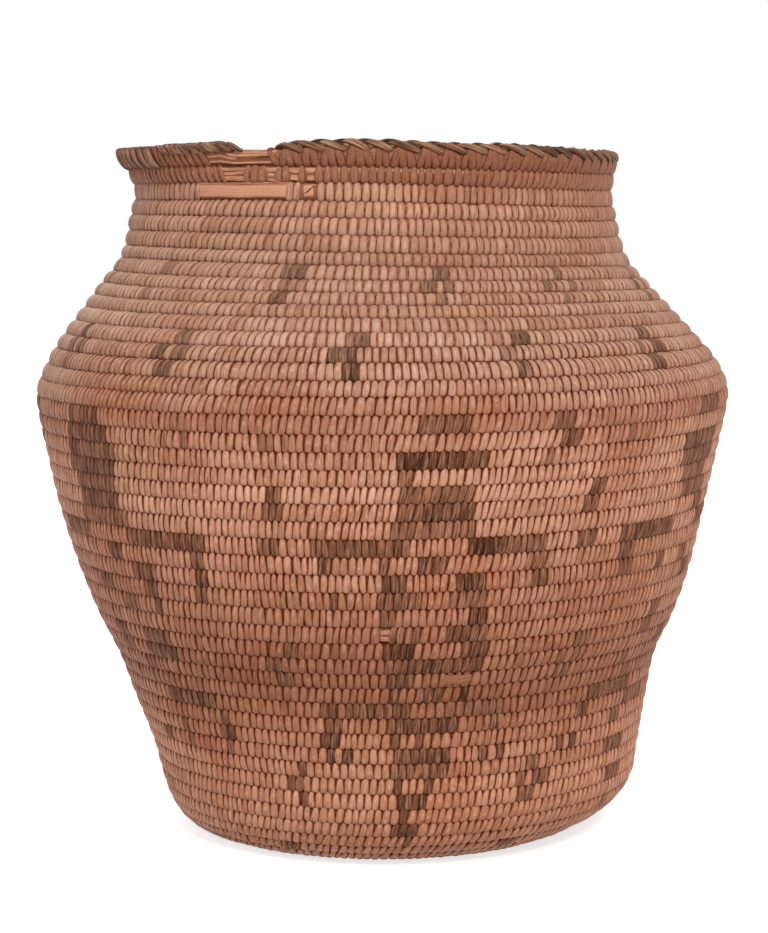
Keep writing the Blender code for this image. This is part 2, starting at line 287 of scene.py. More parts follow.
# Small crosses on the side of the photograph: course, azimuths, faded
FRONT_CROSSES = [
    (8, -49.8, -46.5, 0.75), (10, -52.2, -48.5, 0.7), (8, -18.0, -13.8, 0.45),
    (9, -17.8, -12.8, 0.85), (10, -19.8, -16.2, 0.3), (8, 11.8, 15.2, 0.35), (9, 9.0, 12.0, 0.5),
    (9, 13.8, 15.5, 0.5), (10, 10.8, 13.2, 0.75), (8, 39.8, 42.0, 0.5), (9, 36.5, 39.8, 0.5),
    (9, 41.8, 44.2, 0.55), (10, 38.8, 41.5, 0.7), (13, -36.8, -34.0, 0.5), (14, -39.8, -37.2, 0.25),
    (14, -35.5, -32.5, 0.45), (15, -38.5, -35.5, 0.3), (13, -4.5, -1.5, 0.35),
    (14, -7.3, -4.2, 0.35), (15, -6.2, -3.5, 0.1), (13, 23.0, 26.0, 0.25), (14, 20.2, 23.2, 0.75),
    (15, 22.0, 24.2, 0.3), (13, 52.8, 55.2, 0.4), (14, 50.0, 51.5, 0.5), (14, 54.2, 57.5, 0.35),
    (15, 50.3, 54.5, 0.35), (18, -34.0, -31.8, 0.6), (19, -36.0, -34.8, 0.8),
    (19, -32.5, -30.5, 0.6), (19, -18.5, -16.5, 0.75), (19, -14.8, -12.5, 0.8),
    (18, 27.0, 29.5, 0.4), (19, 28.5, 31.3, 0.4), (20, 25.5, 27.5, 0.6), (19, 40.8, 42.8, 0.7),
    (19, 44.2, 46.2, 0.8), (22, -18.0, -16.0, 0.5), (23, -19.5, -15.5, 0.45),
    (25, -20.0, -17.0, 0.4), (22, 35.0, 37.2, 0.45), (23, 33.8, 37.2, 0.45), (25, 34.0, 37.0, 0.4),
    (31, -19.2, -16.5, 0.45), (32, -22.5, -19.2, 0.4), (33, -21.2, -17.8, 0.35),
    (31, 36.5, 40.0, 0.4), (32, 33.2, 35.5, 0.45), (32, 37.8, 41.2, 0.45), (33, 34.5, 37.8, 0.4),
    (38, 38.0, 39.8, 0.4), (38, 41.2, 43.5, 0.4), (39, -22.0, -19.5, 0.45), (40, -24.5, -21.5, 0.5),
    (41, -22.5, -19.5, 0.5), (39, 30.2, 32.5, 0.5), (40, 26.5, 28.8, 0.45), (40, 31.5, 36.0, 0.55),
    (41, 28.0, 31.3, 0.45), (45, 27.8, 33.5, 0.4), (45, -28.2, -23.8, 0.5),
]
FRONT_HALF_WIDTH = 62.0      # degrees that the photograph shows on each side of the front

# Crosses elsewhere. Courses below the top one, and blocks in stitches from the centre
CROSS = [
    (0, -1.0, 1.0), (1, -2.9, -1.0), (1, 0.8, 2.8), (2, -1.8, 0.2),
]
# Between two figures: degrees from the middle between them, and top course
CROSSES_BETWEEN = [(-9.5, 18), (6.7, 18), (-1.0, 23), (2.2, 31), (-4.0, 39), (-5.5, 44)]
# Around the shoulder: top course, azimuth of the first, how many all round
SHOULDER_BANDS = [(8, -17.0, 12), (13, -5.0, 12)]


def other_crosses():
    """Azimuth and top course of the crosses that the photograph doesn't show."""
    places = []
    around = sorted(centre for centre, _ in FIGURES)
    for left, right in zip(around, around[1:] + [around[0] + 360]):
        places += [((left + right) / 2 + offset, course) for offset, course in CROSSES_BETWEEN]
    for course, first, count in SHOULDER_BANDS:
        places += [(first + 360 * i / count, course) for i in range(count)]
    return [(wrapped(at), course) for at, course in places if abs(wrapped(at)) > FRONT_HALF_WIDTH]


def pattern_of(turns, pitch, rng):
    """How faded the dark splint of each stitch is, and -1 for a light stitch."""
    fade = np.full(len(turns), -1.0)
    degrees = degrees_of(turns)
    for centre, figure in [*FIGURES, (0.0, FRONT_CROSSES)]:
        offset = wrapped(degrees - centre)
        course = course_of(turns, centre + offset)
        for row, start, stop, faded in figure:
            fade[(course == row) & (offset >= start) & (offset < stop)] = faded
    for centre, top in other_crosses():
        offset = wrapped(degrees - centre)
        course = course_of(turns, centre + offset)
        stitches = np.radians(offset) / pitch
        for below, start, stop in CROSS:
            faded = rng.uniform(0.2, 0.65)
            fade[(course == top + below) & (stitches >= start) & (stitches < stop)] = faded
    return fade


# Where the sewing is lost, and the bundle shows: course, first and last azimuth
LOST = [
    (1, -37.2, -21.3), (2, -34.6, -28.4), (2, -22.4, -21.2), (2, -17.5, -15.6), (2, -13.6, -11.9),
    (3, -42.0, -18.3), (3, -14.9, -12.8), (30, -0.5, 1.0),
]


def is_lost(turns, margin=0.0):
    """Whether the stitches at these turns are gone, or lie in the margin of a gap, in degrees."""
    degrees = degrees_of(turns)
    course = course_of(turns, degrees)
    lost = np.zeros(len(turns), bool)
    for row, start, stop in LOST:
        lost |= (course == row) & (degrees >= start - margin) & (degrees <= stop + margin)
    return lost


def stitch_pitch(turn):
    """Angle from one stitch to the next, in turns."""
    low, high = row_limits(turn)
    middle = (low + high) / 2
    pitch = np.interp(middle / MM, *zip(*STITCH_PITCH)) * MM
    return pitch / (2 * math.pi * np.maximum(radius_at(middle), 4 * MM))


def place_stitches(rng):
    """Turn number of every stitch. Each one pierces the row below between two of its stitches."""
    rows = [np.arange(0.5, FIRST_TURN_STITCHES) / FIRST_TURN_STITCHES]
    lean = 0.3
    for turn in range(1, FULL_TURNS + 1):
        stop = min(turn + 1, LAST_TURN - SEWING_STOP)
        below = rows[-1]
        gaps = (below[1:] + below[:-1]) / 2 + 1 + lean * stitch_pitch(turn + 0.5)
        even = [below[-1] + stitch_pitch(below[-1])]
        while even[-1] < stop:
            even.append(even[-1] + stitch_pitch(even[-1]))
        even = np.array(even[:-1])
        pitch = stitch_pitch(even)
        nearest = np.clip(np.searchsorted(gaps, even), 1, len(gaps) - 1)
        nearest -= even - gaps[nearest - 1] < gaps[nearest] - even
        held = gaps[nearest]
        close = np.abs(held - even) < 0.6 * pitch
        row = np.where(close, held, even)
        doubled = np.diff(row, prepend=row[0] - 1) < 0.3 * pitch
        row = row + np.where(doubled, 0.3, 0.0) * pitch
        row[:-1] -= np.where(doubled[1:], 0.3, 0.0) * pitch[:-1]
        row = np.sort(row)
        for _ in range(2):
            row[1:-1] = 0.6 * row[1:-1] + 0.2 * (row[2:] + row[:-2])
        row = row + rng.normal(0, 0.07, len(row)) * pitch
        rows.append(np.sort(row[row < stop]))
    return rows


# A stitch's way round the coil: place in the row from -1 (its lower edge) to 1, depth in mm, width
STITCH_PATH = [
    (-1.31, 2.2, 0.2), (-1.29, 1.5, 0.42), (-1.22, 0.96, 0.64), (-1.08, 0.58, 0.86),
    (-0.85, 0.28, 0.99), (-0.45, 0.06, 1.02), (0.0, 0.0, 1.0), (0.4, 0.08, 0.94),
    (0.75, 0.28, 0.79), (1.02, 0.55, 0.6), (1.2, 0.92, 0.42), (1.28, 1.6, 0.28),
    (1.24, 3.6, 0.32), (0.8, 5.5, 0.75), (-0.2, 6.0, 0.96), (-0.9, 5.5, 0.84),
    (-1.26, 4.0, 0.4),
]
# Width of the stitches of the shoulder and neck, which lie as flat bands
BAND_WIDTH = [0.3, 0.6, 0.86, 0.96, 1.0, 1.0, 1.0, 1.0, 0.98, 0.9, 0.74, 0.5, 0.4, 0.75, 0.96, 0.84, 0.4]
VISIBLE_STATIONS = 11
HIDDEN_DEPTH = 3.0           # mm from which a stitch runs on the inner side
# Across a stitch: place from edge to edge, and depth under the crown in mm
STITCH_SECTION = [
    (-1.0, 0.52), (-0.66, 0.11), (0.0, 0.0), (0.66, 0.11), (1.0, 0.52), (0.66, 1.05),
    (-0.66, 1.05),
]
SECTION_ROOM = [0.0, 0.2, 0.42, 0.64, 0.84, 0.9, 0.95, 1.0]   # share of the baked width of each face


def sides(section):
    """How far each point of a section lies to the side, from -1 to 1."""
    return columns(section)[0]


def ribbons(centres, normals, half_width, section):
    """Closed solids along centre lines. Arrays are solid, station, point of the section, xyz."""
    along = np.gradient(centres, axis=1)
    across = np.cross(along, normals)
    across /= np.linalg.norm(across, axis=-1, keepdims=True)
    out = np.cross(across, along)
    out /= np.linalg.norm(out, axis=-1, keepdims=True)
    side, under = columns(section)
    offset = side * half_width[..., None]
    return (centres[:, :, None] + across[:, :, None] * offset[..., None]
            - out[:, :, None] * (under * MM)[None, None, :, None])


def solids_mesh(name, points, fields, room=None, slots=None):
    """Mesh of closed solids given as solid, station, ring point. fields are point attributes, room is
    how far along the baked strip each station lies, and slots are the solids' materials."""
    count, stations, ring, _ = points.shape
    if room is None:
        room = np.linspace(0, 1, stations)
    index = np.arange(count * stations * ring).reshape(count, stations, ring)
    turned = np.roll(index, -1, axis=2)
    quads = np.stack([index[:, :-1], turned[:, :-1], turned[:, 1:], index[:, 1:]], axis=-1)
    quads = quads.reshape(count, -1, 4)
    caps = np.stack([index[:, 0, ::-1], index[:, -1]], axis=1)
    loops = np.concatenate([quads.reshape(count, -1), caps.reshape(count, -1)], axis=1).ravel()
    sizes = np.concatenate([np.full(quads.shape[1], 4), [ring, ring]])
    sizes = np.tile(sizes, count)
    mesh = bpy.data.meshes.new(name)
    mesh.vertices.add(points.size // 3)
    mesh.vertices.foreach_set("co", points.astype(np.float32).ravel())
    mesh.loops.add(len(loops))
    mesh.loops.foreach_set("vertex_index", loops.astype(np.int32))
    mesh.polygons.add(len(sizes))
    starts = np.concatenate([[0], np.cumsum(sizes)[:-1]])
    mesh.polygons.foreach_set("loop_start", starts.astype(np.int32))
    mesh.update(calc_edges=True)
    mesh.polygons.foreach_set("use_smooth", np.ones(len(sizes), bool))
    if slots is not None:
        per_solid = len(sizes) // count
        mesh.polygons.foreach_set("material_index", np.repeat(slots, per_solid).astype(np.int32))
    mesh.uv_layers.new(name="OFBake").uv.foreach_set("vector", baking_map(count, ring, room))
    for field, values in fields.items():
        kind = "FLOAT_VECTOR" if np.ndim(values) == 4 else "FLOAT"
        slot = "vector" if kind == "FLOAT_VECTOR" else "value"
        shape = points.shape if kind == "FLOAT_VECTOR" else points.shape[:3]
        made = mesh.attributes.new(field, kind, "POINT")
        made.data.foreach_set(slot, np.broadcast_to(values, shape).astype(np.float32).ravel())
    mesh.validate()
    return mesh


def cap_map(ring, size, left, right, height):
    """Places on the baked map for the caps at both ends of a solid."""
    around = np.linspace(0, 2 * math.pi, ring, endpoint=False)
    circle = np.stack([np.cos(around), np.sin(around)], axis=-1) * size
    return np.concatenate([circle[::-1] + (left, height), circle + (right, height)])


def baking_map(count, ring, room):
    """A place of its own for each face of each solid: cells in a grid, caps at the top of the cell."""
    wide = math.ceil(math.sqrt(count))
    high = math.ceil(count / wide)
    even = np.linspace(0, 1, ring + 1)
    across = np.array(SECTION_ROOM if ring == len(STITCH_SECTION) else even) * 0.94 + 0.03
    up = np.array(room) * 0.84 + 0.03
    u0, v0 = np.meshgrid(across[:-1], up[:-1])
    u1, v1 = np.meshgrid(across[1:], up[1:])
    quads = np.stack([np.stack(p, axis=-1) for p in ((u0, v0), (u1, v0), (u1, v1), (u0, v1))], axis=2)
    cell = np.concatenate([quads.reshape(-1, 2), cap_map(ring, 0.04, 0.2, 0.7, 0.935)])
    which = np.arange(count)
    corner = np.stack([which % wide, which // wide], axis=-1)
    return ((corner[:, None] + cell[None]) / (wide, high)).astype(np.float32).ravel()


def plane_normals(distances, depths, angles):
    """Points of the path, and the ways out of the coil there, square to it in the row's section."""
    run = np.gradient(distances, axis=1)
    sink = np.gradient(depths, axis=1)
    length = np.hypot(run, sink)
    step = 0.1 * MM
    here = wall_point(distances, angles, depths)
    there = wall_point(distances + step * sink / length, angles, depths - step * run / length)
    return here, (there - here) / step


def stitch_solids(turns, half_width, lean, reach, sink, bulge, band, taper, bow, gather, flare):
    """Solids of the stitches at these turns. lean, bow and gather shift them along the row and sink
    and flare move them in and out, in mm. reach lifts the top, in half rows."""
    low, high = row_limits(turns)
    middle, half = (low + high) / 2, (high - low) / 2
    path, depth, width = columns(STITCH_PATH)
    place = np.where(depth < HIDDEN_DEPTH, path + ramp(path, 0.5, 0.7) * reach[:, None], path)
    distances = middle[:, None] + place * half[:, None]
    rounded = np.where(depth < 1.5, depth * (1 + bulge[:, None]), depth)
    depths = (rounded + sink[:, None] - flare[:, None] * (1 + place) / 2) * MM
    radius = np.maximum(radius_at(middle), 3 * MM)[:, None]
    slant = 0.35 * place + 0.25 * place * np.abs(place)
    shift = lean[:, None] * slant + bow[:, None] * (1 - place ** 2)
    shift = shift + gather[:, None] * np.clip((place + 0.7) / 1.9, 0, 1) ** 1.3
    angles = azimuth(turns)[:, None] + shift * MM / radius
    centres, normals = plane_normals(distances, depths, angles)
    shrink = np.clip(radius_at(distances) / radius, 0.35, 1.5)
    width = (width + (BAND_WIDTH - width) * band[:, None]) * (1 + taper[:, None] * path)
    solids = ribbons(centres, normals, half_width[:, None] * width * shrink, STITCH_SECTION)
    travelled = np.cumsum(np.hypot(np.diff(distances, axis=1, prepend=distances[:, :1]),
                                   np.diff(depths, axis=1, prepend=depths[:, :1])), axis=1)
    return solids, place, travelled


def splint_tones(count, rng):
    """Tone of each stitch: one for the splint that it is made with, and a little of its own."""
    lengths = rng.integers(*SPLINT_STITCHES, size=count)
    tones = np.repeat(rng.normal(0.5, 0.13, count), lengths)[:count]
    return np.clip(tones + rng.normal(0, 0.12, count), 0, 1)


def tiled(turns):
    """Centres and half widths of stitches that fill their row side by side."""
    bounds = (turns[1:] + turns[:-1]) / 2
    pitch = stitch_pitch(turns)
    left = np.concatenate([[turns[0] - pitch[0] / 2], bounds])
    right = np.concatenate([bounds, [turns[-1] + pitch[-1] / 2]])
    width = np.minimum(right - left, 1.5 * pitch)
    centres = (right + left) / 2
    return centres, width * math.pi * np.maximum(radius_at(row_limits(centres)[0]), 3 * MM)


# The rim: its two braids and the stretch where it is only wrapped, as first and last azimuth
LONG_BRAID = (-20.5, 264.0)
SHORT_BRAID = (-55.8, -28.9)
WRAPPED_RIM = (-96.0, -56.0)
BRAID_STEP = 5.0             # degrees from one strand to the next
PEAK_AFTER_STRAND = 3.2      # degrees from a strand's start to where stitches gather and reach up
NOTCH = (-34.0, -28.0)       # where the short braid lies over the torn rim, and stops
WANDERS = 600                # places along the coil, nine to a turn, between which the lean wanders
# How far the rows of the neck lie in at the left: course, and mm
NECK_INSET = [(1, 0.0), (2, 0.45), (3, 0.9), (4, 0.2), (5, 0.0)]


def inset(turns):
    """How much deeper than the even wall the coil lies, in mm."""
    degrees = degrees_of(turns)
    side = ramp(-degrees, 50, 30) * (1 - ramp(-degrees, 115, 35))
    return side * np.interp(course_of(turns, degrees), *zip(*NECK_INSET))


def change(style, which, **values):
    """Gives some of the stitches other values."""
    for name, value in values.items():
        style[name] = np.where(which, value, style[name])


def rim_style(style, course, degrees, rng):
    """Changes how the stitches of the top rows lie, and says which ones wrap the rim."""
    count = len(degrees)
    rightward = ramp(degrees, 0, 55)
    style["lean"] += rightward * np.select([course == 1, course == 2], [1.6, 1.1])
    under_short = (course <= 2) & (degrees > SHORT_BRAID[0] - 25) & (degrees < SHORT_BRAID[1] - 3)
    lean = np.where(course == 1, -1.7, -0.9) + rng.normal(0, 0.2, count)
    change(style, under_short, lean=lean, width=0.84)
    grouped = (course == 1) & ~under_short & ((degrees > SHORT_BRAID[1]) | (degrees < WRAPPED_RIM[0]))
    phase = (degrees - LONG_BRAID[0] - PEAK_AFTER_STRAND) / BRAID_STEP
    aside = (phase - np.rint(phase)) * math.radians(BRAID_STEP) * RIM_RADIUS
    lean = 0.9 * rightward + rng.normal(0, 0.2, count)
    reach = np.where(np.abs(aside) < 1.5, 0.2, 0.04)
    change(style, grouped, lean=lean, reach=reach, gather=-0.62 * aside, band=0.2)
    wrapping = (course == 1) & (degrees > WRAPPED_RIM[0]) & (degrees < WRAPPED_RIM[1])
    lean = -2.1 + rng.normal(0, 0.25, count)
    reach = 0.05 + rng.normal(0, 0.05, count)
    sink = -0.95 + 0.5 * (np.arange(count) % 2) + rng.normal(0, 0.06, count)
    change(style, wrapping, lean=lean, reach=reach, sink=sink, width=0.84, band=0.8)
    return wrapping


def sewing_style(turns, rng):
    """How each stitch lies, and which ones wrap the rim. width is a share of its own width."""
    count = len(turns)
    degrees = degrees_of(turns)
    course = course_of(turns, degrees)
    distance = row_limits(turns)[0] / MM
    wander = np.interp(turns * 9.0, np.arange(WANDERS), rng.normal(0, 0.3, WANDERS))
    lean = 0.75 + wander + rng.normal(0, 0.22, count)
    reach = rng.normal(0, 0.05, count)
    sink = rng.uniform(-0.04, 0.14, count) + inset(turns)
    upper = ramp(distance, SHOULDER_START, SHOULDER_BLEND)
    band = np.where(course <= 3, 0.25, 0.9 * ramp(distance, BANDS_START, BANDS_BLEND))
    flatter = 1 - 0.4 * ramp(np.abs(degrees), 45, 35)
    leftward = ramp(-degrees, 2, 34)
    aslant = ramp(-degrees, 45, 30) * (1 - ramp(-degrees, 110, 30))
    style = {
        "lean": lean * (1 - 0.45 * upper * (1 - leftward)) + 0.75 * upper * leftward,
        "reach": reach,
        "sink": sink,
        "bulge": 1.5 * upper * np.where(course <= 3, 0.4, 1.0) * flatter,
        "band": band,
        "width": 1 - 0.1 * band * rng.uniform(0.2, 1.5, count),
        "gather": np.zeros(count),
        "flare": np.where(course == 1, 1.1 * aslant, 0.0),
    }
    wrapping = rim_style(style, course, degrees, rng)
    style["taper"] = rng.normal(-0.02, 0.09, count) * (1 - 0.6 * upper)
    style["bow"] = rng.normal(0, 0.13, count)
    return style, wrapping


def grain_of(shape, across, along, rng):
    """Place of each point in its splint's grain, in mm, with a random start for each solid."""
    start = rng.uniform(0, 300, (shape[0], 1, 1))
    return np.stack([np.broadcast_to(value, shape) for value in (across, along, start)], axis=-1)


def sewing_piece(name, turns, nodes, rng):
    """One row of stitches as a single object that stands for its node."""
    turns, half_width = tiled(turns)
    kept = ~is_lost(turns)
    turns, half_width = turns[kept], half_width[kept]
    count = len(turns)
    half_width = half_width * rng.uniform(0.95, 1.07, count)
    fade = pattern_of(turns, stitch_pitch(turns) * 2 * math.pi, rng)
    style, wrapping = sewing_style(turns, rng)
    # Rim wraps in dark splint: every other one, which lies deeper, is darker as painted shade between the
    # raised wraps, with a little random tone
    wrap_tone_and_shade = np.where(np.arange(count) % 2, 0.45, 0.8) + rng.uniform(-0.12, 0.12, count)
    fade = np.where(wrapping, wrap_tone_and_shade, fade)
    dark = fade >= 0
    share = style.pop("width")
    solids, place, travelled = stitch_solids(turns, half_width * share, **style)
    side = sides(STITCH_SECTION)
    shape = solids.shape[:3]
    grain = grain_of(shape, side * half_width[:, None, None] / MM, travelled[:, :, None] / MM, rng)
    # The top two courses get darker tones: painted shadow of the rim braid above them
    dulled = np.interp(course_of(turns, degrees_of(turns)), [1, 2, 3], [0.05, 0.25, 1.0])
    fields = {
        "grain": grain,
        "across": side,
        "along": place[:, :, None],
        "tone": (splint_tones(count, rng) * dulled)[:, None, None],
        "fade": np.clip(fade + rng.normal(0, 0.1, count), 0, 1)[:, None, None],
    }
    last = len(STITCH_PATH) - 1
    room = np.interp(np.arange(last + 1), [0, 1, VISIBLE_STATIONS, last], [0, 0.04, 0.72, 1.0])
    mesh = solids_mesh(name, solids, fields, room, dark.astype(int))
    place_piece(mesh, [WILLOW, DEVILS_CLAW], nodes)


def place_piece(mesh, materials, nodes):
    """Adds an object named as its mesh, which stands for the nodes and takes its finish from a slot."""
    for material in materials:
        mesh.materials.append(material)
    made = bpy.data.objects.new(mesh.name, mesh)
    bpy.context.scene.collection.objects.link(made)
    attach(made, "root")
    if nodes:
        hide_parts(*nodes)


# Materials

class Wiring:
    """Short ways to add nodes to a node tree."""

    def __init__(self, tree):
        self.nodes = tree.nodes
        self.links = tree.links

    def fill(self, node, inputs):
        """Links or sets inputs of a node, given in order, or by place or name."""
        pairs = inputs.items() if isinstance(inputs, dict) else enumerate(inputs)
        for place, value in pairs:
            socket = node.inputs[place]
            if isinstance(value, bpy.types.NodeSocket):
                self.links.new(value, socket)
            else:
                socket.default_value = (*value, 1.0) if socket.type == "RGBA" else value
        return node

    def add(self, kind, inputs=(), **settings):
        """A new node with these settings and inputs."""
        node = self.nodes.new("ShaderNode" + kind)
        for name, value in settings.items():
            setattr(node, name, value)
        return self.fill(node, inputs)

    def attribute(self, name, output="Fac"):
        return self.add("Attribute", attribute_name=name).outputs[output]

    def off_centre(self, name):
        """How far an attribute is from 0."""
        return self.math("ABSOLUTE", self.attribute(name))

    def math(self, operation, *values):
        return self.add("Math", values, operation=operation).outputs[0]

    def plus(self, a, b):
        return self.math("ADD", a, b)

    def minus(self, a, b):
        return self.math("SUBTRACT", a, b)

    def times(self, a, b):
        return self.math("MULTIPLY", a, b)

    def lessened(self, value, mask, share):
        """The value, less a share of it where the mask is 1."""
        return self.times(value, self.minus(1.0, self.times(mask, share)))

    def band(self, value, low, high):
        """0 below low, 1 above high, smooth between."""
        inputs = (value, low, high, 0.0, 1.0)
        return self.add("MapRange", inputs, interpolation_type="SMOOTHSTEP").outputs[0]

    def noise(self, vector, scale, detail=2.0, rough=0.5):
        inputs = {"Vector": vector, "Scale": scale, "Detail": detail, "Roughness": rough}
        return self.add("TexNoise", inputs).outputs["Fac"]

    def grain(self, across, along, detail=2.0, rough=0.5):
        """Noise in the splint's own grain, by its scale across and along."""
        inputs = (self.attribute("grain", "Vector"), (across, along, 1.0))
        place = self.add("VectorMath", inputs, operation="MULTIPLY").outputs[0]
        return self.noise(place, 1.0, detail, rough)

    def mix(self, factor, a, b, mode="MIX"):
        inputs = {0: factor, 6: a, 7: b}
        return self.add("Mix", inputs, data_type="RGBA", blend_type=mode).outputs[2]

    def tinge(self, colour, value, low, high, share, other):
        """The colour, and a share of the other one as the value goes from low to high."""
        return self.mix(self.times(self.band(value, low, high), share), colour, other)

    def position(self, axis=None):
        """Place in m, or its part along one axis."""
        place = self.add("NewGeometry").outputs["Position"]
        return self.add("SeparateXYZ", [place]).outputs[axis] if axis else place


def splint_material(name, paint, roughness, rise, relief, relief_height, gloss, tint=(1.0, 1.0, 1.0)):
    """Material of a splint. paint gives its colour and its fibre, which lifts the roughness by up to
    rise and makes the relief."""
    made = bpy.data.materials.new(name)
    made.use_nodes = True
    w = Wiring(made.node_tree)
    colour, fibre = paint(w)
    bump = w.add("Bump", {"Strength": relief, "Distance": relief_height, "Height": fibre})
    w.fill(w.nodes["Principled BSDF"], {
        "Base Color": colour,
        "Roughness": w.plus(w.times(fibre, rise), roughness),
        "Normal": bump.outputs[0],
        "Specular IOR Level": gloss,
        "Specular Tint": tint,
    })
    return made


def shoulder(w):
    """1 on the flat bands above the shoulder, 0 below."""
    return w.band(w.position("Z"), 0.174, 0.184)


def crevice_shade(w, side_strength):
    """1 at the edges and ends of a stitch: painted shade in the creases where it meets its neighbours."""
    uneven = w.times(w.minus(w.grain(0.5, 0.9), 0.5), 0.5)
    upper = shoulder(w)
    start = w.plus(0.73, w.times(upper, 0.05))
    # The painted shade reaches further in towards the left and right sides of the basket
    aside = w.band(w.math("ABSOLUTE", w.position("X")), 0.055, 0.1)
    start = w.minus(start, w.times(aside, 0.16))
    side = w.band(w.plus(w.off_centre("across"), uneven), start, 1.02)
    end = w.lessened(w.band(w.plus(w.off_centre("along"), uneven), 0.86, 1.12), upper, 0.45)
    closing = w.times(w.band(w.attribute("along"), 0.0, 0.7), upper)
    return w.math("MAXIMUM", w.lessened(w.times(side, side_strength), closing, 0.55), end)


def crown(w):
    """1 on the crown of a stitch, where a painted highlight goes, 0 towards its edges and ends."""
    side = w.band(w.off_centre("across"), 0.8, 0.0)
    place = w.math("ABSOLUTE", w.minus(w.attribute("along"), 0.12))
    return w.lessened(w.times(side, w.band(place, 1.0, 0.2)), shoulder(w), 0.6)


# Painted light and shade by height in m, which also shift the hue: how much of the splint's own
# brightness is left, as red, green and blue. The darkest band, round 0.063, is painted shade on the lower
# belly
LIGHT_AND_SHADE_BY_HEIGHT = [
    (0.0, (0.97, 0.94, 0.94)), (0.035, (1.1, 1.09, 1.08)), (0.05, (0.88, 0.8, 0.76)),
    (0.063, (0.67, 0.58, 0.54)), (0.088, (0.84, 0.78, 0.77)), (0.108, (0.98, 0.97, 0.99)),
    (0.13, (1.08, 1.12, 1.17)), (0.142, (1.05, 1.08, 1.12)), (0.156, (0.79, 0.73, 0.73)),
    (0.168, (0.95, 1.1, 1.22)), (0.176, (0.94, 1.11, 1.25)), (0.205, (0.89, 1.05, 1.16)),
    (0.231, (0.86, 0.9, 0.95)), (0.239, (0.7, 0.66, 0.67)), (0.255, (0.61, 0.55, 0.55)),
]
LIGHT_AND_SHADE_CEILING = 1.3


def lit_and_shaded_by_height(w, colour):
    """The colour with its painted light and shade by height, whose edges wander."""
    shift = w.times(w.minus(w.noise(w.position(), 14.0, 3.0), 0.5), 0.03)
    top = LIGHT_AND_SHADE_BY_HEIGHT[-1][0]
    height_shading = w.add("ValToRGB", [w.math("DIVIDE", w.plus(w.position("Z"), shift), top)])
    stops = height_shading.color_ramp.elements
    while len(stops) < len(LIGHT_AND_SHADE_BY_HEIGHT):
        stops.new(0.5)
    for stop, (height, tint) in zip(stops, LIGHT_AND_SHADE_BY_HEIGHT):
        stop.position = height / top
        stop.color = (*(v / LIGHT_AND_SHADE_CEILING for v in tint), 1.0)
    tinted = w.mix(1.0, colour, height_shading.outputs[0], "MULTIPLY")
    return w.mix(1.0, tinted, (LIGHT_AND_SHADE_CEILING,) * 3, "MULTIPLY")


def willow(w):
    fibre = w.grain(2.4, 0.2, 4.0, 0.6)
    mottle = w.grain(0.9, 0.5)
    patches = w.noise(w.position(), 30.0, 3.0)
    colour = w.mix(w.attribute("tone"), (0.34, 0.146, 0.082), (0.58, 0.305, 0.2))
    colour = w.tinge(colour, patches, 0.45, 0.7, 0.6, (0.37, 0.134, 0.07))
    colour = w.tinge(colour, fibre, 0.5, 0.7, 0.75, (0.235, 0.078, 0.034))
    colour = w.tinge(colour, mottle, 0.52, 0.8, 0.35, (0.62, 0.33, 0.21))
    # Painted highlight: a pale warm spot on the crown of some stitches
    painted_highlight = w.times(crown(w), w.band(mottle, 0.47, 0.66))
    colour = w.mix(w.times(painted_highlight, 0.36), colour, (0.76, 0.47, 0.33))
    # Painted shade: darker and redder towards both sides of each stitch
    colour = w.tinge(colour, w.off_centre("across"), 0.3, 0.95, 0.45, (0.39, 0.125, 0.052))
    # Painted shade in the creases between stitches, in a dark red-brown, a little weaker near the floor
    crevice_shade_strength = w.minus(0.95, w.times(w.band(w.position("Z"), 0.045, 0.015), 0.25))
    colour = w.mix(w.times(crevice_shade(w, 0.8), crevice_shade_strength), lit_and_shaded_by_height(w, colour), (0.14, 0.018, 0.002))
    return colour, fibre


def devils_claw(w):
    fibre = w.grain(2.0, 0.15, 4.0, 0.6)
    fade = w.attribute("fade")
    base = w.mix(fade, (0.07, 0.024, 0.012), (0.375, 0.155, 0.087))
    greyed = w.mix(fade, (0.08, 0.042, 0.026), (0.33, 0.17, 0.11))
    colour = w.mix(w.band(w.position("Z"), 0.155, 0.18), base, greyed)
    streak = w.mix(fade, (0.35, 0.165, 0.104), (0.48, 0.225, 0.142))
    colour = w.tinge(colour, fibre, 0.49, 0.64, 0.72, streak)
    colour = w.tinge(colour, fibre, 0.46, 0.34, 0.75, (0.04, 0.011, 0.005))
    # Painted shade in the creases between stitches, nearly black
    return w.mix(w.times(crevice_shade(w, 0.45), 0.85), colour, (0.045, 0.01, 0.003)), fibre


def bundle(w):
    fibre = w.grain(3.5, 0.08, 4.0, 0.65)
    rough = w.minus(1.0, w.attribute("smoothed"))
    colour = w.mix(w.times(w.band(fibre, 0.42, 0.66), rough), (0.57, 0.285, 0.172), (0.33, 0.12, 0.06))
    colour = w.tinge(colour, w.grain(0.6, 0.1), 0.5, 0.75, 0.4, (0.4, 0.175, 0.1))
    colour = w.tinge(colour, w.grain(0.1, 0.9), 0.45, 0.65, 0.22, (0.4, 0.175, 0.095))
    # Painted shade: darker towards the edges of a strip
    colour = w.tinge(colour, w.off_centre("across"), 0.65, 1.0, 0.6, (0.22, 0.065, 0.028))
    # Where the share is low the bundle takes a dark red-brown: painted shade in the gaps between
    # stitches, and on a strip lying over the stitches a darker tone of its own
    return w.mix(w.attribute("pale_straw_share"), (0.14, 0.036, 0.012), colour), fibre


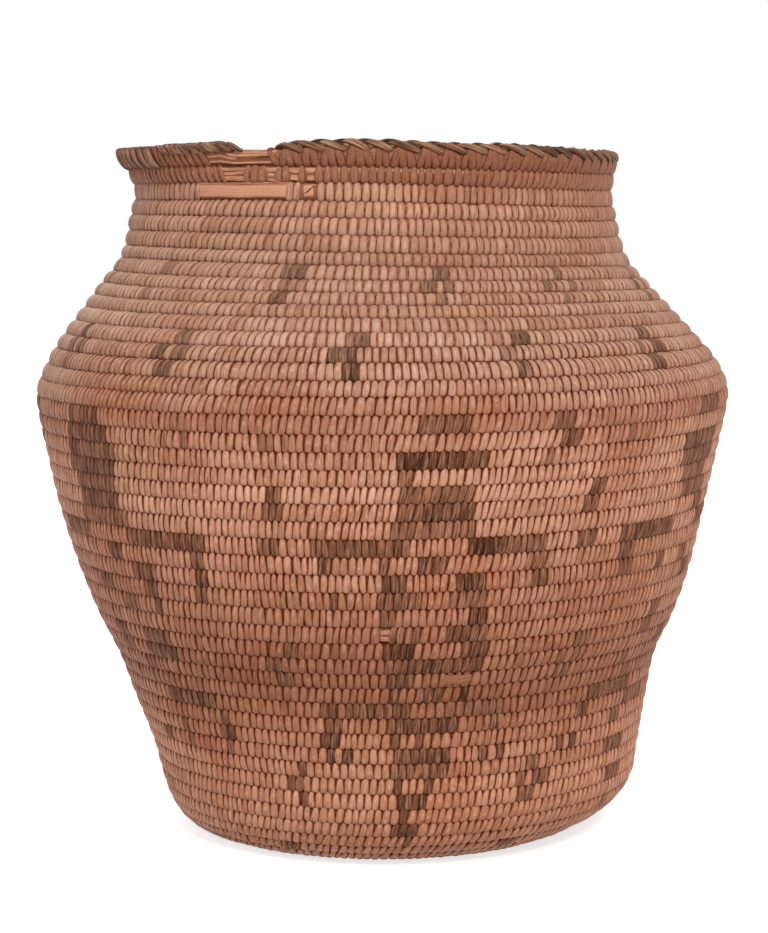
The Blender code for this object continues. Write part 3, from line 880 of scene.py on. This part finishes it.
def braid(w):
    fibre = w.grain(1.7, 0.09, 4.0, 0.65)
    tone = w.attribute("tone")
    colour = w.mix(tone, (0.11, 0.044, 0.022), (0.31, 0.148, 0.084))
    streak = w.mix(tone, (0.33, 0.19, 0.122), (0.49, 0.27, 0.168))
    colour = w.tinge(colour, fibre, 0.5, 0.64, 0.85, streak)
    colour = w.tinge(colour, fibre, 0.47, 0.37, 0.85, (0.03, 0.01, 0.005))
    # Painted shade: nearly black towards the edges of each strand, where it meets the next
    return w.tinge(colour, w.off_centre("across"), 0.6, 1.0, 0.8, (0.03, 0.01, 0.004)), fibre


WARM_GLOSS = (1.0, 0.65, 0.45)    # tint of the shine on dark splints
# Each with its paint, roughness and its rise, relief and its height in m, gloss, and tint of the shine
WILLOW = splint_material("willow_sewing_finish", willow, 0.25, 0.3, 0.35, 0.00018, 0.07, (1.0, 0.6, 0.4))
DEVILS_CLAW = splint_material("devils_claw_finish", devils_claw, 0.42, 0.3, 0.7, 0.0003, 0.08, WARM_GLOSS)
FOUNDATION = splint_material("bundle_foundation_finish", bundle, 0.5, 0.25, 0.4, 0.0002, 0.1)
BRAID = splint_material("rim_braid_finish", braid, 0.38, 0.25, 0.7, 0.00035, 0.12, WARM_GLOSS)


# The bundle inside

FOUNDATION_STEPS = 128
BUNDLE_START = 0.02          # turns
BUNDLE_STOP = 0.03           # turns before the coil's end
GRAIN_PER_FACE = 2.2         # mm
BUNDLE_SECTION = [
    (-0.98, 1.9), (-0.62, 0.95), (0.62, 0.95), (0.98, 1.9), (0.98, 4.1), (0.62, 5.05),
    (-0.62, 5.05), (-0.98, 4.1),
]


def unshaded_share(turns):
    """1 where the bundle shows as pale straw, 0 where it is painted dark as the shade in the gaps between
    the stitches.
    """
    degrees = degrees_of(turns)
    course = course_of(turns, degrees)
    pale_straw_share = np.zeros(len(turns))
    pale_straw_share[course <= 13] = 0.3
    pale_straw_share[course == 1] = 0.4
    pale_straw_share[(course == 2) & (degrees > -40) & (degrees < 25)] = 0.7
    pale_straw_share[is_lost(turns, 1.0)] = 0.3
    return pale_straw_share


def foundation_piece():
    """The bundle that the stitches go round, one spiral from the knot to the rim."""
    turns = np.arange(BUNDLE_START, LAST_TURN - BUNDLE_STOP, 1 / FOUNDATION_STEPS)
    low, high = row_limits(turns)
    middle, half = (low + high) / 2, (high - low) / 2
    place, depth = columns(BUNDLE_SECTION)
    distances = middle[:, None] + place * half[:, None]
    raised = 0.2 * ramp(low / MM, BANDS_START, BANDS_BLEND)[:, None] * (depth < 1.0)
    depths = (depth - raised + inset(turns)[:, None]) * MM
    points = wall_point(distances, azimuth(turns)[:, None], depths)[None, :, ::-1]
    grain = np.stack(np.broadcast_arrays(
        np.arange(len(depth))[None, None] * GRAIN_PER_FACE,
        (turns * 2 * math.pi * radius_at(middle) / MM)[None, :, None],
        0.0), axis=-1)
    fields = {"grain": grain, "pale_straw_share": unshaded_share(turns)[None, :, None], "smoothed": 0.0}
    mesh = solids_mesh("foundation_bundle", points, fields)
    wrap_by_turns(mesh, len(turns))
    place_piece(mesh, [FOUNDATION], ["foundation_coil"])


def wrap_by_turns(mesh, stations):
    """Lays the long spiral out for baking as one strip for each turn."""
    strips = math.ceil(stations / FOUNDATION_STEPS) + 1
    ring = len(BUNDLE_SECTION)
    station, face = np.divmod(np.arange((stations - 1) * ring), ring)
    strip, step = np.divmod(station, FOUNDATION_STEPS)
    u = 0.01 + 0.98 * np.stack([step, step, step + 1, step + 1], axis=-1) / FOUNDATION_STEPS
    rise = 0.05 + 0.9 * np.stack([face, face + 1, face + 1, face], axis=-1) / ring
    v = (strip[:, None] + rise) / strips
    body = np.stack([u, v], axis=-1).reshape(-1, 2)
    caps = cap_map(ring, 0.3 / strips, 0.3, 0.6, (strips - 0.5) / strips)
    flat = np.concatenate([body, caps]).astype(np.float32).ravel()
    mesh.uv_layers["OFBake"].uv.foreach_set("vector", flat)


# Strips of the bundle that show where the sewing is lost: course, first and last azimuth, place in
# the row at both ends, half width and depth in mm
STRIPS = [
    (1, -38.6, -20.6, -0.62, -0.5, 0.42, 0.7), (1, -39.2, -29.0, -0.15, 0.1, 0.4, 0.75),
    (1, -33.0, -19.8, 0.5, 0.5, 0.62, 0.6), (1, -36.0, -20.4, -0.2, -0.05, 0.36, 0.85),
    (1, -31.5, -20.0, 0.84, 0.86, 0.5, 1.0), (1, -40.5, -34.0, 0.5, 0.42, 0.4, 0.9),
    (2, -35.6, -27.0, 0.62, 0.55, 0.55, 0.55), (2, -35.6, -27.0, 0.05, 0.22, 0.62, 0.6),
    (2, -35.6, -27.0, -0.52, -0.48, 0.85, 0.5), (2, -23.6, -19.5, 0.55, 0.5, 0.75, 0.55),
    (2, -23.6, -19.5, -0.1, -0.12, 0.7, 0.6), (2, -23.6, -19.5, -0.7, -0.66, 0.62, 0.55),
    (2, -18.5, -14.6, 0.42, 0.46, 0.95, 0.55), (2, -18.5, -14.6, -0.45, -0.4, 0.95, 0.6),
    (2, -14.6, -10.9, 0.42, 0.4, 0.95, 0.55), (2, -14.6, -10.9, -0.42, -0.45, 0.95, 0.6),
    (3, -43.6, -16.8, -0.02, 0.02, 2.25, 0.45), (3, -43.4, -16.8, 0.88, 0.84, 0.45, 0.9),
    (3, -15.9, -11.8, 0.05, 0.05, 2.1, 0.6), (30, -1.4, 1.9, 0.35, 0.35, 0.95, 0.6),
    (30, -1.4, 1.9, -0.45, -0.45, 0.95, 0.6), (33, 10.7, 16.2, 0.18, 0.22, 1.9, -0.3),
]
# A loose fibre that lies across a gap: course, azimuths and places of its ends
FIBRES = [
    (3, -15.0, -12.6, -0.35, 0.55),
    (1, -26.6, -20.9, 0.3, 0.38),
]
SMOOTH_STRIP = 2.0           # mm of half width from which a strip is one smooth splint
STRIP_STATIONS = 33
STRIP_SECTION = [
    (-1.0, 0.22), (-0.86, 0.03), (-0.35, 0.0), (0.35, 0.0), (0.86, 0.03), (1.0, 0.22),
    (0.8, 0.5), (-0.8, 0.5),
]


def along_coil(turns, places, depths):
    """Centres and ways out of paths that follow the coil, one row of arrays for each path."""
    low, high = row_limits(turns)
    distances = low + (places + 1) / 2 * (high - low)
    angles = azimuth(turns)
    centres = wall_point(distances, angles, depths)
    normals = (centres - wall_point(distances, angles, depths + 0.1 * MM)) / (0.1 * MM)
    return centres, normals


def strip_piece(name, strips, sunk_ends, material, rng):
    """Strips that follow the coil, with their ends sunk by this many mm."""
    t = np.linspace(0, 1, STRIP_STATIONS)
    course, start, stop, first, last, half, depth = columns(strips)
    turns = turn_of(course[:, None], start[:, None] + (stop - start)[:, None] * t)
    phase = rng.uniform(0, 6.28, (len(strips), 1))
    waver = 0.035 * np.sin(6 * t + phase) + 0.02 * np.sin(15 * t + 2 * phase)
    places = first[:, None] + (last - first)[:, None] * t + waver
    from_end = np.minimum(t, 1 - t) * (stop - start)[:, None]
    depths = depth[:, None] + sunk_ends * (1 - ramp(from_end, 0, 1.2))
    centres, normals = along_coil(turns, places, depths * MM)
    widths = half[:, None] * MM * np.clip(0.55 + from_end, 0, 1)
    solids = ribbons(centres, normals, widths, STRIP_SECTION)
    side = sides(STRIP_SECTION)
    along = t[None, :, None] * (stop - start)[:, None, None] * 1.5
    fields = {
        "grain": grain_of(solids.shape[:3], side * half[:, None, None], along, rng),
        # A strip lying over the stitches has a darker, redder tone of its own
        "pale_straw_share": np.where(depth < 0, 0.48, 1.0)[:, None, None],
        "smoothed": np.where(half > SMOOTH_STRIP, 0.7, 0.0)[:, None, None],
        "across": side,
    }
    place_piece(solids_mesh(name, solids, fields), [material], [])


def build_strips(rng):
    threads = [(*fibre, 0.16, 0.25) for fibre in FIBRES]
    strip_piece("bare_strips", STRIPS, 0.5, FOUNDATION, rng)
    strip_piece("loose_fibres", threads, 0.3, DEVILS_CLAW, rng)


# The rim braid. A strand's way: share of its length, height over the row and depth in mm, width
OUTER_STRAND = [
    (0.0, 0.9, 3.3, 0.5), (0.08, 1.4, 2.7, 0.8), (0.2, 1.6, 1.9, 1.0), (0.36, 1.3, 1.0, 1.0),
    (0.52, 0.8, 0.4, 1.0), (0.68, 0.1, 0.0, 1.0), (0.82, -0.6, -0.2, 0.95),
    (0.93, -1.2, 0.0, 0.8), (1.0, -1.6, 0.8, 0.5),
]
# The short piece that shows under each strand, on its way up from the outside
UNDER_STRAND = [
    (0.0, -1.4, 1.3, 0.5), (0.15, -1.1, 0.8, 0.9), (0.4, -0.5, 0.7, 1.0), (0.65, 0.2, 1.0, 1.0),
    (0.85, 0.7, 1.6, 0.9), (1.0, 0.9, 2.4, 0.5),
]
STRAND_LENGTH = 10.6         # mm along the rim
UNDER_LENGTH = 4.6
UNDER_START = 6.4
STRAND_STATIONS = 13
# The core inside the strands: height over the row and depth in mm
BRAID_CORE = [
    (-1.0, 1.7), (-0.1, 1.2), (0.6, 1.8), (1.0, 3.0), (0.6, 4.2), (-0.1, 4.8), (-1.0, 4.3),
]
# A strand of split claw, with its ribs: place across and depth under its crown in mm
STRAND_SECTION = [
    (-1.0, 0.7), (-0.72, 0.22), (-0.38, 0.03), (-0.2, 0.1), (0.05, 0.0), (0.28, 0.1),
    (0.5, 0.04), (0.78, 0.24), (1.0, 0.7), (0.6, 1.15), (-0.6, 1.15),
]


# Fields of a filling painted dark as shade, without a grain: across at 1 gives it the braid's darkest
# painted edge shade
SHADE_FILLING = {"grain": np.zeros((1, 1, 1, 3)), "across": 1.0, "tone": 0.0}


def rim_distance(degrees):
    """Distance of the top row's upper edge at an azimuth."""
    return row_limits(turn_of(1, wrapped(degrees)))[1]


def rim_point(degrees, rise, depth):
    """Points by azimuth, height over the top row and depth, both in mm. The braid bridges the notch."""
    level = np.where(np.abs(degrees - NOTCH[1]) < NOTCH[1] - NOTCH[0], NOTCH[0], degrees)
    return wall_point(rim_distance(level) + rise * MM, np.radians(degrees), depth * MM)


def braid_strands(starts, path, length, half_width, inner, lowered, rng):
    """Strands that each start at an azimuth. Those of the inner side are mirrored in the wall."""
    shares, *ways = columns(path)
    count = len(starts)
    t = np.linspace(0, 1, STRAND_STATIONS)
    rise, depth, width = (np.interp(t, shares, way)[None] for way in ways)
    rise = rise - lowered + rng.normal(0, 0.13, (count, 1)) * np.sin(np.pi * t)
    depth = depth + rng.normal(0, 0.1, (count, 1)) * np.sin(np.pi * t)
    if inner:
        depth = WALL_MM - depth
    stretch = rng.normal(1, 0.05, (count, 1))
    degrees = starts[:, None] + t[None] * length * stretch * RIM_DEGREES_PER_MM
    centres = rim_point(degrees, rise, depth)
    normals = centres - rim_point(degrees, np.full_like(rise, -0.9 - lowered), np.full_like(depth, 3.0))
    normals /= np.linalg.norm(normals, axis=-1, keepdims=True)
    half = half_width * rng.uniform(0.88, 1.1, (count, 1)) * MM
    solids = ribbons(centres, normals, half * width, STRAND_SECTION)
    side = sides(STRAND_SECTION)
    shape = solids.shape[:3]
    grain = grain_of(shape, side * half_width, (t * length)[None, :, None], rng)
    dulled = np.where(starts < SHORT_BRAID[1], 0.75, 0.6 * ramp(starts, 12, 28))
    tone = rng.uniform(0, 1, (count, 1, 1)) * (1 - dulled)[:, None, None]
    return solids, grain, np.broadcast_to(side, shape), np.broadcast_to(tone, shape)


def braid_piece(name, limits, nodes, step, scale, lowered, half_width, rng):
    """A stretch of the rim's braid: strands over a core painted dark as shade."""
    parts = []
    for inner in (False, True):
        shift = step / 2 if inner else 0.0
        room = 6.0 * scale ** 2 + 5.5 * inner
        starts = np.arange(limits[0], limits[1] - room, step)
        starts = starts + rng.normal(0, 0.12, len(starts))
        parts.append(braid_strands(starts + shift, OUTER_STRAND, STRAND_LENGTH * scale, half_width,
                                   inner, lowered, rng))
        under = starts[:-2] + shift + UNDER_START * scale * RIM_DEGREES_PER_MM
        parts.append(braid_strands(under, UNDER_STRAND, UNDER_LENGTH * scale, 0.85 * half_width,
                                   inner, lowered, rng))
    solids, grain, across, tone = (np.concatenate(arrays) for arrays in zip(*parts))
    mesh = solids_mesh(name, solids, {"grain": grain, "across": across, "tone": tone})
    place_piece(mesh, [BRAID], nodes)
    core = np.arange(limits[0] + 1.2, limits[1] - 2.1 / scale, 0.75)
    rise, depth = columns(BRAID_CORE)
    points = rim_point(core[:, None], rise[None] - lowered, depth[None])[None]
    place_piece(solids_mesh(name + "_core", points, SHADE_FILLING), [BRAID], [])


# The knot in the middle of the base: strips woven over and under
KNOT_STRIPS = 3
KNOT_PITCH = 2.3 * MM
KNOT_HALF_WIDTH = 1.08 * MM
KNOT_STATIONS = 25
# Depth of the strips' middle, how far they weave up and down, and how far their ends go in
KNOT_DEPTH, KNOT_WEAVE, KNOT_TUCK = 0.55 * MM, 0.3 * MM, 1.6 * MM
KNOT_SIDES = 24
# The filling: height in mm, and radius as a share of the knot's
KNOT_FILLING = [(1.0, 0.85), (1.3, 1.08), (4.7, 1.08), (5.0, 0.85)]


def knot_piece(rng):
    """A small square of woven strips on both faces of the base, around a filling."""
    t = np.linspace(-1, 1, KNOT_STATIONS)
    reach = edge(np.array([0.0]))[0] * 0.98
    centres, normals, halves = [], [], []
    for top, turned, i in np.ndindex(2, 2, KNOT_STRIPS):
        aside = (i - (KNOT_STRIPS - 1) / 2) * KNOT_PITCH
        half_length = math.sqrt(max(reach ** 2 - aside ** 2, 1e-8))
        over = np.cos(math.pi * (t * half_length / KNOT_PITCH + i + turned))
        level = KNOT_DEPTH - KNOT_WEAVE * over + KNOT_TUCK * ramp(np.abs(t), 0.8, 0.2)
        z = WALL_MM * MM - level if top else level
        line = np.stack([t * half_length, np.full_like(t, aside), z], axis=-1)
        if turned:
            line = line[:, [1, 0, 2]]
        centres.append(line)
        normals.append(np.broadcast_to((0, 0, 1 if top else -1), line.shape))
        halves.append(np.full(len(t), KNOT_HALF_WIDTH))
    centres = np.array(centres)
    solids = ribbons(centres, np.array(normals, float), np.array(halves), STRIP_SECTION)
    side = sides(STRIP_SECTION)
    fields = {
        "grain": grain_of(solids.shape[:3], side * 1.1, t[None, :, None] * 5, rng),
        "across": side * 0.9,
        "tone": 0.5,
    }
    place_piece(solids_mesh("knot_weave", solids, fields), [BRAID], ["start_knot"])
    around = np.linspace(0, 2 * math.pi, KNOT_SIDES, endpoint=False)
    levels, radii = columns(KNOT_FILLING)
    flat = [np.outer(radii * reach, way(around)) for way in (np.cos, np.sin)]
    rings = np.stack([*flat, np.outer(levels * MM, np.ones(KNOT_SIDES))], axis=-1)
    place_piece(solids_mesh("knot_filling", rings[None], SHADE_FILLING), [BRAID], [])


# Stage, light and camera

FLOOR_SIZE = 8.0
FLOOR_LEVEL = -0.2 * MM
FLOOR_GREY = (0.8, 0.8, 0.8)
FLOOR_GLOW = 0.72            # brings the grey floor up to white where it is seen
WORLD_LEVEL = 0.45
# Lamps: name, place, aimed at, size and power
LAMPS = [
    ("key", (0.43, -1.53, 1.45), (0.0, 0.0, 0.12), 0.8, 33.0),
    ("fill", (-1.5, -1.1, 0.8), (0.0, 0.0, 0.12), 1.2, 4.2),
    ("back", (-0.5, 1.9, 1.0), (0.0, 0.0, 0.12), 1.6, 13.0),
]


def directly_seen(w):
    """1 for what the camera sees, also by reflection and through clear things, 0 for light."""
    path = w.add("LightPath")
    rays = [path.outputs[f"Is {kind} Ray"] for kind in ("Camera", "Glossy", "Transmission")]
    return w.math("MAXIMUM", rays[0], w.math("MAXIMUM", *rays[1:]))


def floor_material():
    """White where it is seen, and still shaded where the object's shadow falls."""
    made = bpy.data.materials.new("floor_white")
    made.use_nodes = True
    w = Wiring(made.node_tree)
    grey = w.add("BsdfDiffuse", {"Color": FLOOR_GREY}).outputs[0]
    glow = w.add("Emission", {"Strength": FLOOR_GLOW}).outputs[0]
    white = w.add("AddShader", (grey, glow)).outputs[0]
    mixed = w.add("MixShader", (directly_seen(w), grey, white)).outputs[0]
    w.fill(w.nodes["Material Output"], {"Surface": mixed})
    return made


def build_stage():
    bpy.ops.mesh.primitive_plane_add(size=FLOOR_SIZE, location=(0, 0, FLOOR_LEVEL))
    floor = bpy.context.object
    floor.name = "floor"
    floor.data.materials.append(floor_material())
    world = bpy.data.worlds.new("studio")
    bpy.context.scene.world = world
    world.use_nodes = True
    w = Wiring(world.node_tree)
    level = w.add("MapRange", (directly_seen(w), 0.0, 1.0, WORLD_LEVEL, 1.0)).outputs[0]
    w.fill(w.nodes["Background"], {"Color": (1.0, 1.0, 1.0), "Strength": level})


def build_light():
    for name, place, target, size, power in LAMPS:
        data = bpy.data.lights.new(name, "AREA")
        data.shape = "DISK"
        data.size = size
        data.energy = power
        lamp = bpy.data.objects.new(name, data)
        bpy.context.scene.collection.objects.link(lamp)
        aim(lamp, place, target)


def aim(thing, place, target):
    """Puts a thing at a place, looking at the target."""
    thing.location = place
    way = Vector(target) - Vector(place)
    thing.rotation_euler = way.to_track_quat("-Z", "Y").to_euler()


# The camera, which looks a little down and level from side to side
CAMERA_PLACE = (0.0005, -0.9119, 0.2271)
CAMERA_PITCH = math.radians(6.14)
FOCAL_PIXELS = 2524
PHOTO_HEIGHT = 933
SENSOR = 36.0


def build_camera():
    data = bpy.data.cameras.new("camera")
    data.sensor_width = SENSOR
    data.lens = FOCAL_PIXELS * SENSOR / PHOTO_HEIGHT
    camera = bpy.data.objects.new("camera", data)
    camera.location = CAMERA_PLACE
    camera.rotation_euler = (math.pi / 2 - CAMERA_PITCH, 0.0, 0.0)
    bpy.context.scene.collection.objects.link(camera)
    bpy.context.scene.camera = camera


def build_sewing():
    rng = np.random.default_rng(SEED)
    rows = place_stitches(rng)
    base = np.concatenate(rows[:BASE_TURNS])
    sewing_piece("base_stitches", base, ["base_sewing"], rng)
    for turn in range(BASE_TURNS, FULL_TURNS):
        number = turn - BASE_TURNS + 1
        sewing_piece(f"stitches_{number:02d}", rows[turn], [f"wall_row_{number:02d}"], rng)
    sewing_piece("closing_stitches", rows[FULL_TURNS], ["closing_row"], rng)


bpy.context.scene.view_settings.view_transform = "Standard"
build_camera()
build_light()
build_stage()
build_sewing()
foundation_piece()
detail = np.random.default_rng(SEED + 1)
build_strips(detail)
braid_piece("rim_braid", LONG_BRAID, ["rim_braid_long"], BRAID_STEP, 1.0, 0.0, 1.25, detail)
braid_piece("rim_braid_left", SHORT_BRAID, ["rim_braid_short"], 1.75, 0.75, 0.7, 1.0, detail)
knot_piece(detail)
